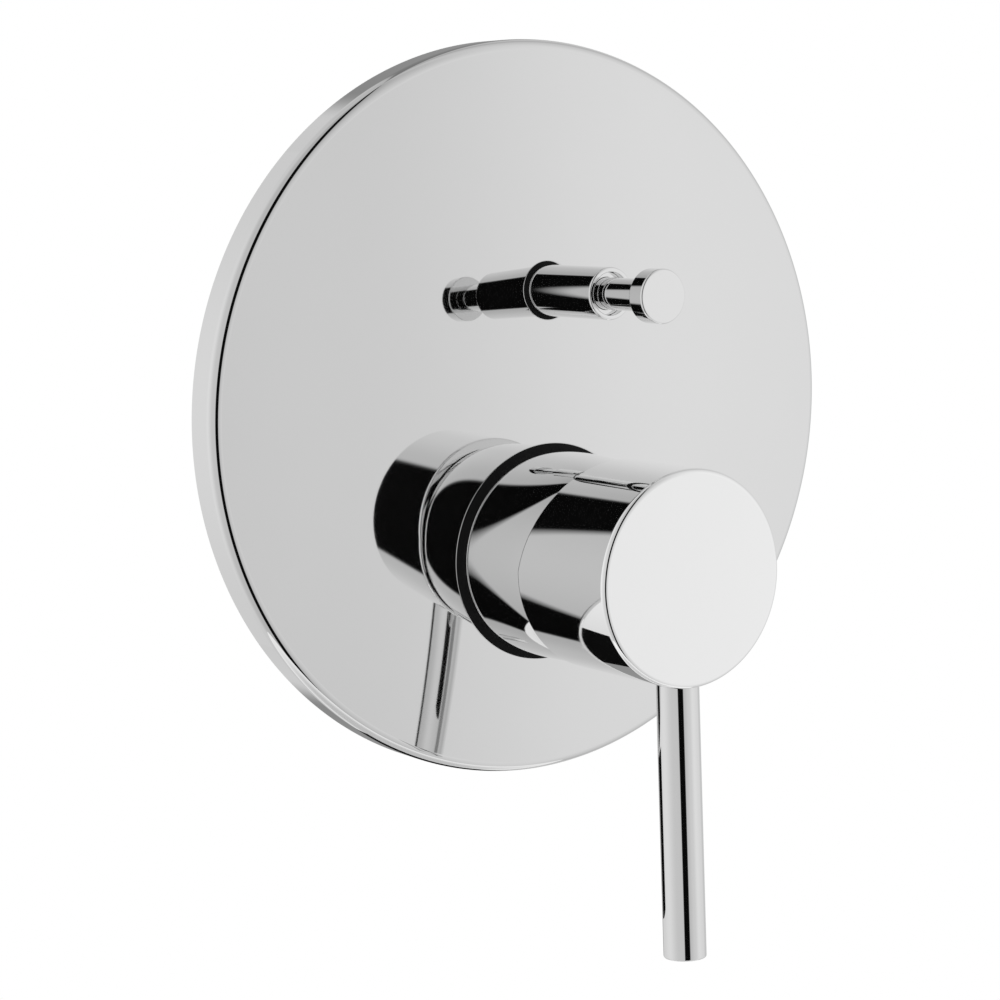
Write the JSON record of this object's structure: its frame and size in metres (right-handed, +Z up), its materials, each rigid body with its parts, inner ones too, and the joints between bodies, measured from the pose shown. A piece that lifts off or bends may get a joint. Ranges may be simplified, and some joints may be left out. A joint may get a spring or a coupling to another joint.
{
  "type": "concealed bath mixer",
  "caption": "Wall-mounted single-lever bath mixer with a round domed cover plate, cylinder handle, straight rod lever, pull-out diverter knob and a concealed brass valve body.",
  "frame": {"origin": "centre of the cover plate's back rim, on the finished wall", "axes": "+Z up, towards the shower outlet; +Y into the wall; front towards -Y; cold inlet on +X"},
  "size_m": [0.17, 0.1186, 0.202],
  "materials": {
    "chrome": "polished",
    "brass": "as cast and turned",
    "black_rubber": "matte",
    "grey_foam": "matte foam",
    "white_plastic": "moulded",
    "ceramic": "lapped",
    "steel": "drawn"
  },
  "bodies": {
    "body": {"valve_body": "brass", "cartridge_base": "white_plastic", "base_seals": "black_rubber", "disc_seals": "black_rubber", "fixed_ceramic_disc": "ceramic", "cartridge_housing": "white_plastic", "cartridge_nut": "brass", "sleeve_o_rings": "black_rubber", "sleeve": "chrome", "sleeve_grommet": "black_rubber", "cover_plate": "chrome", "plate_gasket": "grey_foam", "diverter_bonnet": "brass", "bonnet_o_ring": "black_rubber", "gland_o_ring": "black_rubber", "diverter_barrel": "chrome", "barrel_grommet": "black_rubber"},
    "rotor": {"stem_carrier": "white_plastic", "pivot_pin": "steel"},
    "disc": {"disc_carrier": "white_plastic", "moving_ceramic_disc": "ceramic"},
    "handle": {"cartridge_stem": "steel", "handle": "chrome", "lever": "chrome", "handle_set_screw": "steel"},
    "diverter": {"diverter_stem": "chrome", "diverter_knob": "chrome", "diverter_piston": "brass", "piston_seals": "black_rubber", "diverter_spring": "steel"}
  },
  "joints": [
    {"name": "temperature", "type": "hinge", "parent": "body", "child": "rotor", "pos_m": [0, -0.032, -0.0326], "axis": [0, -1, 0], "range_deg": [-50, 50]},
    {"name": "flow", "type": "hinge", "parent": "rotor", "child": "handle", "pos_m": [0, -0.032, -0.0326], "axis": [-1, 0, 0], "range_deg": [0, 16.5]},
    {"name": "disc_travel", "type": "slide", "parent": "rotor", "child": "disc", "axis": [0, 0, -1], "range_m": [0, 0.00581]},
    {"name": "diverter_pull", "type": "slide", "parent": "body", "child": "diverter", "axis": [0, -1, 0], "range_m": [0, 0.009], "stiffness_N_per_m": 200, "springref_m": -0.01, "deforming": ["diverter_spring"]}
  ],
  "couplings": [
    {"joint": "disc_travel", "follows": "flow", "m_per_rad": 0.019725}
  ]
}
